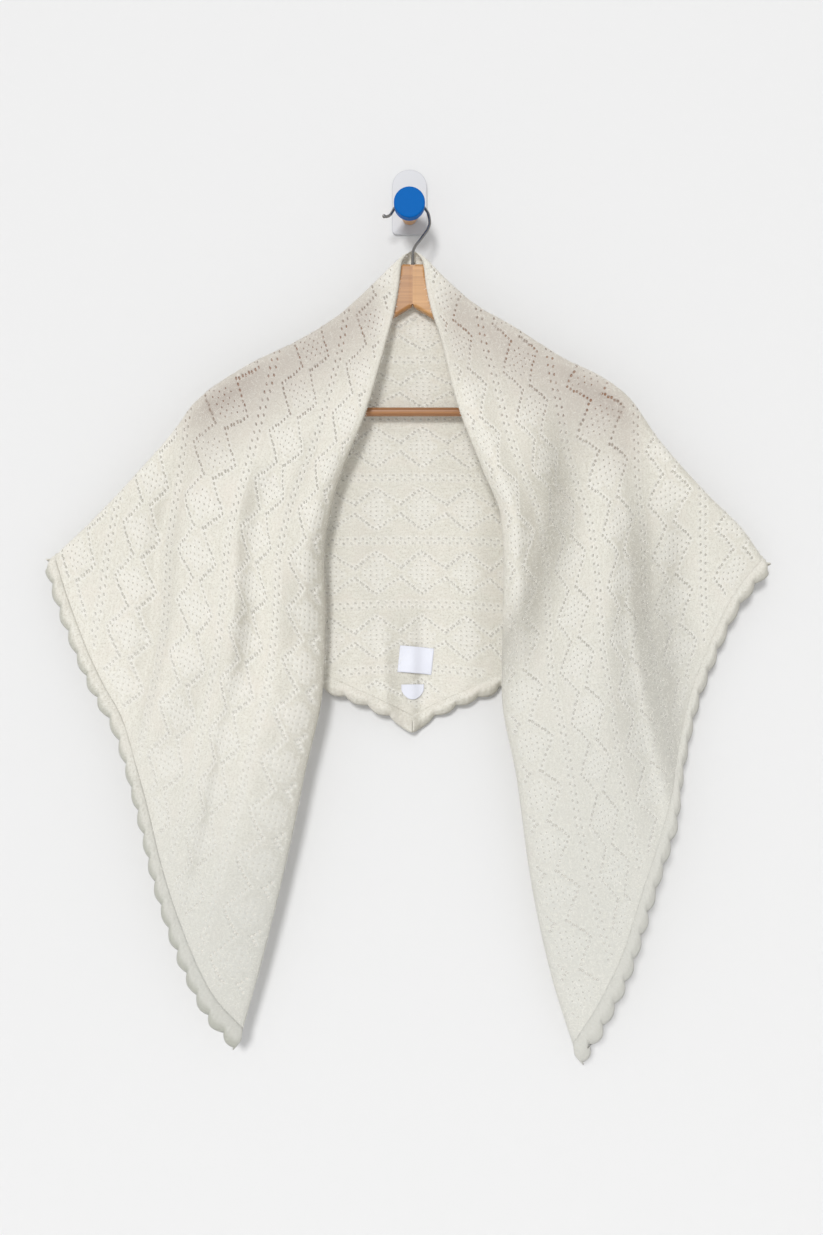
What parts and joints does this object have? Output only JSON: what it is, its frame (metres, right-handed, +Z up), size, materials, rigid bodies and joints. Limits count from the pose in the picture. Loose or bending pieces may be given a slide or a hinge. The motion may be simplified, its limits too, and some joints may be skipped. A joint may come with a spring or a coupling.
{
  "type": "lace shawl draped on a clothes hanger and wall hook",
  "caption": "Large triangular knitted lace shawl with a scalloped crochet edging, draped over a wooden clothes hanger that hangs on a wall peg.",
  "frame": {"origin": "centre of the wall plate's flat back face, where the wall hook is fixed to the wall", "axes": "+Z up, +X to the right of someone who faces the wall, +Y into the wall, so the shawl lies at negative Y"},
  "size_m": [0.7811, 0.0748, 0.9742],
  "materials": {
    "knit": "soft brushed ivory wool lace knit",
    "crochet": "ivory wool crochet",
    "label": "white satin ribbon, bare",
    "wood": "clear satin lacquer on pale hardwood",
    "wire": "bright drawn wire",
    "plate": "white satin enamel",
    "cap": "blue satin moulded"
  },
  "bodies": {
    "root": {"shawl_back": "knit", "shawl_front_left": "knit", "shawl_front_right": "knit", "edging_back": "crochet", "edging_front_left": "crochet", "edging_front_right": "crochet", "main_label": "label", "care_label": "label", "hanger_arm_left": "wood", "hanger_arm_right": "wood", "hanger_bar": "wood", "wall_peg": "wood", "hanger_hook": "wire", "wall_plate": "plate", "peg_cap": "cap"}
  },
  "joints": []
}
